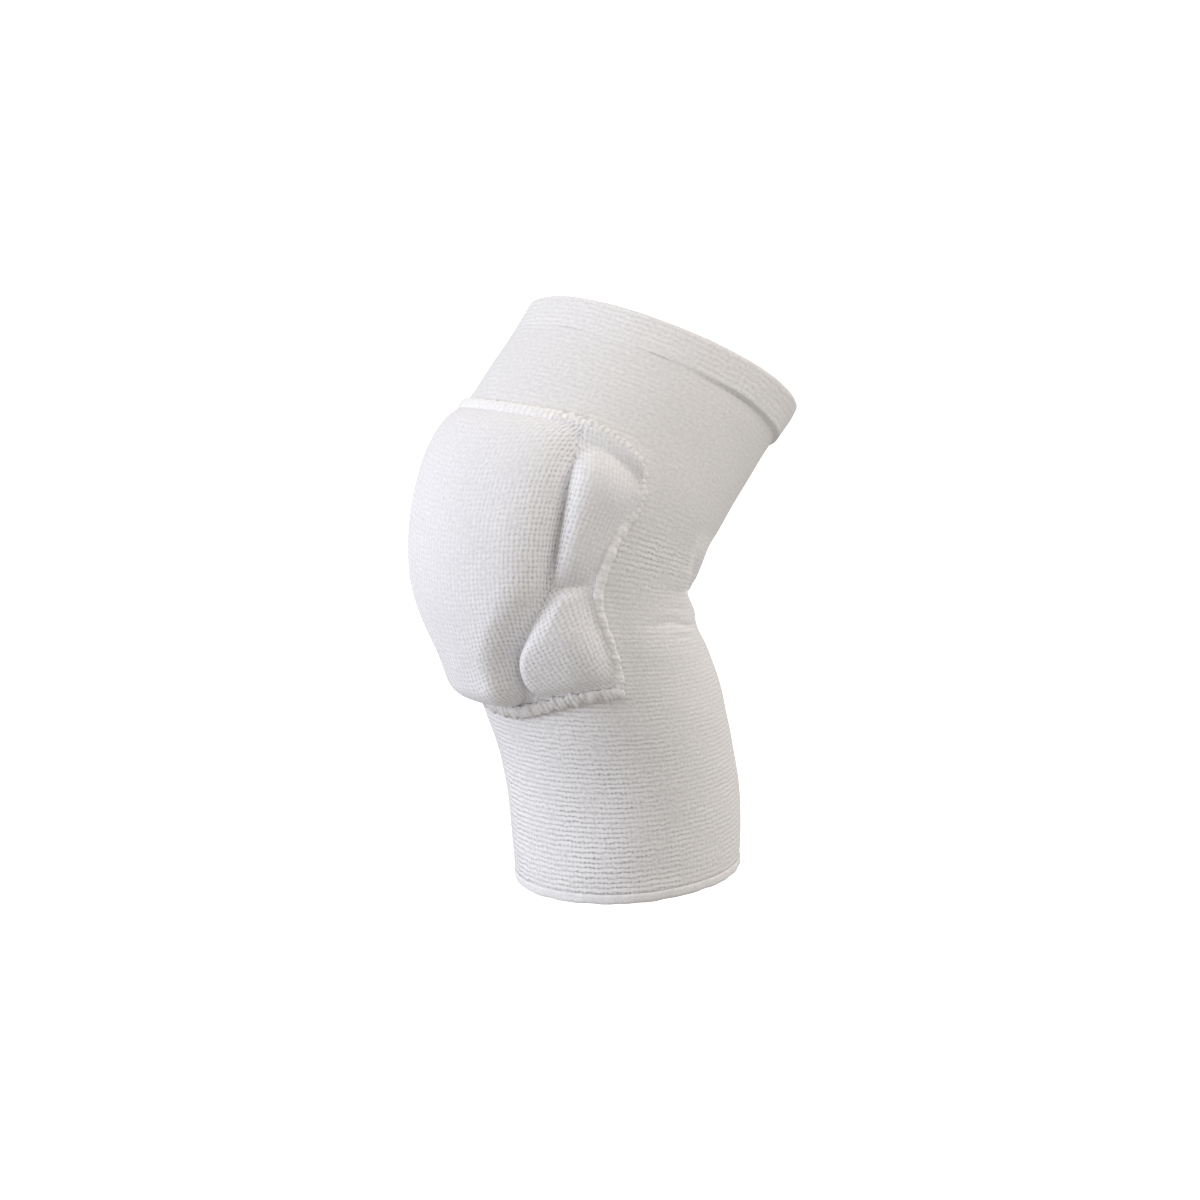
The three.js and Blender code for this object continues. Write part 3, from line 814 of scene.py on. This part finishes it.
# wale and course: from one column or row of loops to the next. row, column, hole: how much of the
# relief is dark lines between rows, lines between columns, and dots where the two cross.
knit = {
    "name": ["knittedPolyesterSleeve", "knittedNylonPadCover", "doubledElasticHem", "overlockedSeamThread"],
    "wale": [2.15, 2.1, 2.15, 2.3],
    "course": [2.3, 2.35, 2.3, 2.4],
    "stagger": [0.0, 0.0, 0.0, 0.5],
    "loop": ["#f5f5f7", "#f6f6f9", "#f6f6f8", "#f3f3f4"],
    "gap": ["#8d8986", "#9c9997", "#9c9997", "#b7b4b2"],
    "row": [0.42, 0.16, 0.42, 0.25],
    "column": [0.05, 0.26, 0.05, 0.15],
    "hole": [0.16, 0.14, 0.16, 0.40],
    "grain": [0.95, 0.85, 0.95, 0.80],
    "bump": [0.30, 0.32, 0.26, 0.24],
}
# noises of the yarn, on UVs in metres: the wander of the rows is 4 mm across, the yarn's own
# unevenness 1.6 mm, coarser than the real one so that it shows, and worn patches 13 mm
noises = {
    "wander": {"Scale": 230.0, "Detail": 3.0, "Roughness": 0.6},
    "yarn": {"Scale": 620.0, "Detail": 3.0, "Roughness": 0.7},
    "patch": {"Scale": 75.0, "Detail": 5.0, "Roughness": 0.75},
    "wanderBy": (0.0024, 0.0024, 0.0),
    "patchShare": {"From Min": 0.38, "From Max": 0.62, "To Min": 0.30, "To Max": 1.30},
}
meanHeight = 0.75    # the pattern's height about which its relief is scaled
# tint picks the yarn: up to 0.25 plain, 0.40 to 0.55 bleached, 0.66 the cooler finer panel behind
# the knee, 1 painted shade: the grey of the lower welt where it lies under the pads
yarnTintsAndPaintedShade = [(0.25, "#f6f6f6"), (0.40, "#ffffff"), (0.55, "#ffffff"), (0.66, "#f0f2f4"), (1.0, "#dfdddc")]


def emptyTree(owner):
    owner.use_nodes = True
    owner.node_tree.nodes.clear()
    return owner.node_tree


def knitMaterial(form):
    # Matt knitted yarn: rows of loops whose tops catch the light and whose gaps are darker, uneven
    # in strength, with a soft bloom at grazing angles from the fuzz.
    material = bpy.data.materials.new(form["name"])
    tree = emptyTree(material)

    # the rows wander a little: the pattern's place is shifted by slow noise
    cloth = addNode(tree, "UVMap", uv_map="cloth")
    wander = addNode(tree, "TexNoise", {"Vector": cloth}, noises["wander"])
    shift = addNode(tree, "VectorMath", {0: wander.outputs["Color"]}, {1: (0.5, 0.5, 0.5)},
                    operation="SUBTRACT")
    moved = addNode(tree, "VectorMath", {0: shift, 2: cloth}, {1: noises["wanderBy"]}, operation="MULTIPLY_ADD")
    parts = addNode(tree, "SeparateXYZ", {0: moved}).outputs
    row = addNode(tree, "Math", {0: parts["Y"]}, {1: 1 / (form["course"] * mm)}, operation="MULTIPLY")
    rowPlace = addNode(tree, "Math", {0: row}, {1: 0.5}, operation="ADD")
    rowNumber = addNode(tree, "Math", {0: rowPlace}, operation="FLOOR")
    offset = addNode(tree, "Math", {0: rowNumber}, {1: form["stagger"]}, operation="MULTIPLY")
    column = addNode(tree, "Math", {0: parts["X"], 2: offset}, {1: 1 / (form["wale"] * mm)},
                     operation="MULTIPLY_ADD")

    # a row is the size of a cosine, so the gap between two rows is a narrow valley; low is 1 in a gap
    lows = []
    for axis in (row, column):
        turned = addNode(tree, "Math", {0: axis}, {1: math.pi}, operation="MULTIPLY")
        wave = addNode(tree, "Math", {0: turned}, operation="COSINE")
        size = addNode(tree, "Math", {0: wave}, operation="ABSOLUTE")
        lows.append(addNode(tree, "Math", {1: size}, {0: 1.0}, operation="SUBTRACT"))
    hole = addNode(tree, "Math", {0: lows[0], 1: lows[1]}, operation="MULTIPLY")
    height = addNode(tree, "Math", {0: lows[0]}, {1: -form["row"], 2: 1.0}, operation="MULTIPLY_ADD")
    for low, key in ((lows[1], "column"), (hole, "hole")):
        height = addNode(tree, "Math", {0: low, 2: height}, {1: -form[key]}, operation="MULTIPLY_ADD")

    # worn patches and the piece's own relief scale the pattern; the yarn's unevenness is laid over it
    yarn = addNode(tree, "TexNoise", {"Vector": cloth}, noises["yarn"])
    patch = addNode(tree, "TexNoise", {"Vector": cloth}, noises["patch"])
    patchShare = addNode(tree, "MapRange", {"Value": patch}, noises["patchShare"])
    relief = addNode(tree, "Attribute", attribute_name="relief").outputs["Fac"]
    share = addNode(tree, "Math", {0: patchShare, 1: relief}, operation="MULTIPLY")
    centred = addNode(tree, "Math", {0: height}, {1: meanHeight}, operation="SUBTRACT")
    strength = addNode(tree, "Math", {0: centred, 1: share}, {2: meanHeight}, operation="MULTIPLY_ADD")
    offMean = addNode(tree, "Math", {0: yarn}, {1: 0.5}, operation="SUBTRACT")
    grainShare = addNode(tree, "Math", {0: relief}, {1: 0.5, 2: 0.5}, operation="MULTIPLY_ADD")
    grain = addNode(tree, "Math", {0: offMean, 1: grainShare}, operation="MULTIPLY")
    surface = addNode(tree, "Math", {0: grain, 2: strength}, {1: form["grain"]}, operation="MULTIPLY_ADD")

    ramp = addNode(tree, "ValToRGB", {"Fac": surface})
    setRamp(ramp, [(0.0, form["gap"]), (0.95, form["loop"])])
    # the tint ramp gives plain, bleached and panel yarn, and on the lower welt painted shade
    tint = addNode(tree, "ValToRGB", {"Fac": addNode(tree, "Attribute", attribute_name="tint").outputs["Fac"]})
    setRamp(tint, yarnTintsAndPaintedShade)
    tinted = addNode(tree, "Mix", {6: ramp, 7: tint}, {0: 1.0}, data_type="RGBA", blend_type="MULTIPLY")
    bump = addNode(tree, "Bump", {"Height": surface}, {"Strength": 1.0, "Distance": form["bump"] * mm})
    shader = addNode(tree, "BsdfPrincipled", {"Base Color": tinted.outputs[2], "Normal": bump},
                     {"Roughness": 0.95, "IOR": 1.5, "Specular IOR Level": 0.25,
                      "Sheen Weight": 0.12, "Sheen Roughness": 0.5})
    addNode(tree, "OutputMaterial", {"Surface": shader})
    return material


def setRamp(node, stops):
    # colour stops of a ramp, each a place and a hex value; the first and last are there already
    elements = node.color_ramp.elements
    elements[0].position, elements[1].position = stops[0][0], stops[-1][0]
    elements[0].color, elements[1].color = colour(stops[0][1]), colour(stops[-1][1])
    for at, hexValue in stops[1:-1]:
        elements.new(at).color = colour(hexValue)


def finishPiece(piece, material, slot, *nodes):
    piece.data.materials.clear()
    piece.data.materials.append(material)
    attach(piece, "root")
    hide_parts(*nodes)


print("knit materials")
sleeveKnit, coverKnit, hemKnit, threadKnit = (
    knitMaterial(dict(zip(knit, form))) for form in zip(*knit.values()))

print("sleeve and hems")
knitSleeve = buildSleeve()
thighBand = buildThighHem()
calfBand = buildCalfHem()
finishPiece(knitSleeve, sleeveKnit, "knit_sleeve", "knit_sleeve")
finishPiece(thighBand, hemKnit, "hems", "thigh_hem")
finishPiece(calfBand, hemKnit, "hems", "calf_hem")

print("pads")
centrePad = buildLobe("centrePad", centreOutline, centreHeight, lobes["centre"])
finishPiece(centrePad, coverKnit, "pad_cover", "centre_pad")
for sideName, sign in (("Left", 1), ("Right", -1)):
    for part, heightAt in (("upper", upperHeight), ("lower", lowerHeight)):
        lobe = buildLobe(f"{part}SidePad{sideName}", sideOutline(part, sign), heightAt, lobes[part], sign)
        finishPiece(lobe, coverKnit, "pad_cover", f"{part}_side_pad_{sideName.lower()}")

print("welts")
for part in ("upper", "lower"):
    piece = buildWelt(f"{part}PadSeam", crossPath(part), welts[part])
    finishPiece(piece, threadKnit, "seam_thread", f"{part}_pad_seam")
for sideName, sign in (("left", 1), ("right", -1)):
    piece = buildWelt(f"side{sideName.title()}Seam", sidePath(sign), welts["side"])
    finishPiece(piece, threadKnit, "seam_thread", f"side_seam_{sideName}")

# Camera at the photograph's angle; the picture is square. aside, above: mm that it is moved in its
# own plane; sensor: mm; far: metres
view = {
    "azimuth": 48.0, "elevation": 10.0, "distance": 1500.0, "target": (0.0, 21.2, -5.5),
    "aside": -0.91, "above": -0.455, "lens": 98.9, "sensor": 36.0, "far": 20.0,
}


def addCamera():
    azimuth, elevation = math.radians(view["azimuth"]), math.radians(view["elevation"])
    right = Vector((math.cos(azimuth), math.sin(azimuth), 0))
    back = Vector((math.sin(azimuth) * math.cos(elevation), -math.cos(azimuth) * math.cos(elevation),
                   math.sin(elevation)))
    up = back.cross(right)
    camera = bpy.data.objects.new("photoCamera", bpy.data.cameras.new("photoCamera"))
    camera.data.lens = view["lens"]
    camera.data.sensor_width = view["sensor"]
    camera.data.sensor_fit = "HORIZONTAL"
    camera.data.clip_end = view["far"]
    spot = Vector(view["target"]) + back * view["distance"] + right * view["aside"] + up * view["above"]
    camera.matrix_world = Matrix.Translation(spot * mm) @ Matrix((right, up, back)).transposed().to_4x4()
    bpy.context.scene.collection.objects.link(camera)
    bpy.context.scene.camera = camera


# Sizes and places here are in metres. The key light is to the left, the fill to the right and behind.
studio = {
    "keyWatts": 17.8, "keySize": 0.8, "keyColour": "#ecf1ff", "keySpot": (-0.65, -1.53, 0.20),
    "fillWatts": 10.8, "fillSize": 1.0, "fillColour": "#fffaf4", "fillSpot": (1.00, 0.80, 1.15),
    "above": 0.86, "below": 0.38, "skyColour": "#fffaf4", "seen": 1.05,
    "floor": -0.21, "floorHalf": 40.0, "floorColour": "#fbfbfb", "floorGlow": 0.55,
}


def addStudio():
    bpy.context.scene.world = bpy.data.worlds.new("paleStudio")
    tree = emptyTree(bpy.context.scene.world)
    # soft boxes overhead: the light falls off towards the ground; the camera sees plain white
    height = addNode(tree, "SeparateXYZ", {0: addNode(tree, "TexCoord").outputs["Generated"]})
    strength = addNode(tree, "MapRange", {"Value": height.outputs["Z"]},
                       {"From Min": -1.0, "To Min": studio["below"], "To Max": studio["above"]})
    given = addNode(tree, "Background", {"Strength": strength}, {"Color": colour(studio["skyColour"])})
    seen = addNode(tree, "Background", values={"Color": (1, 1, 1, 1), "Strength": studio["seen"]})
    path = addNode(tree, "LightPath").outputs["Is Camera Ray"]
    both = addNode(tree, "MixShader", {0: path, 1: given, 2: seen})
    addNode(tree, "OutputWorld", {"Surface": both})
    for name in ("key", "fill"):
        lamp = bpy.data.objects.new(name + "Light", bpy.data.lights.new(name + "Light", "AREA"))
        lamp.data.energy = studio[name + "Watts"]
        lamp.data.size = studio[name + "Size"]
        lamp.data.color = colour(studio[name + "Colour"])[:3]
        spot = Vector(studio[name + "Spot"])
        lamp.matrix_world = Matrix.Translation(spot) @ spot.to_track_quat("Z", "Y").to_matrix().to_4x4()
        bpy.context.scene.collection.objects.link(lamp)
    corners = np.array([[-1, -1, 0], [1, -1, 0], [1, 1, 0], [-1, 1, 0]]) * studio["floorHalf"]
    ground = makeMesh("paleFloor", corners + [0, 0, studio["floor"]], np.array([[0, 1, 2, 3]]))
    # a sheet of paper, with no shine and evenly pale, on a light table that keeps it near white
    paper = bpy.data.materials.new("mattWhitePaper")
    tree = emptyTree(paper)
    shader = addNode(tree, "BsdfPrincipled", values={
        "Base Color": colour(studio["floorColour"]), "Roughness": 1.0, "Specular IOR Level": 0.0,
        "Emission Color": (1, 1, 1, 1), "Emission Strength": studio["floorGlow"]})
    addNode(tree, "OutputMaterial", {"Surface": shader})
    ground.data.materials.append(paper)
    ground.visible_diffuse = False    # it doesn't light the knit from below
    ground.visible_glossy = False


print("camera and light")
addCamera()
addStudio()
bpy.context.scene.view_settings.view_transform = "Standard"
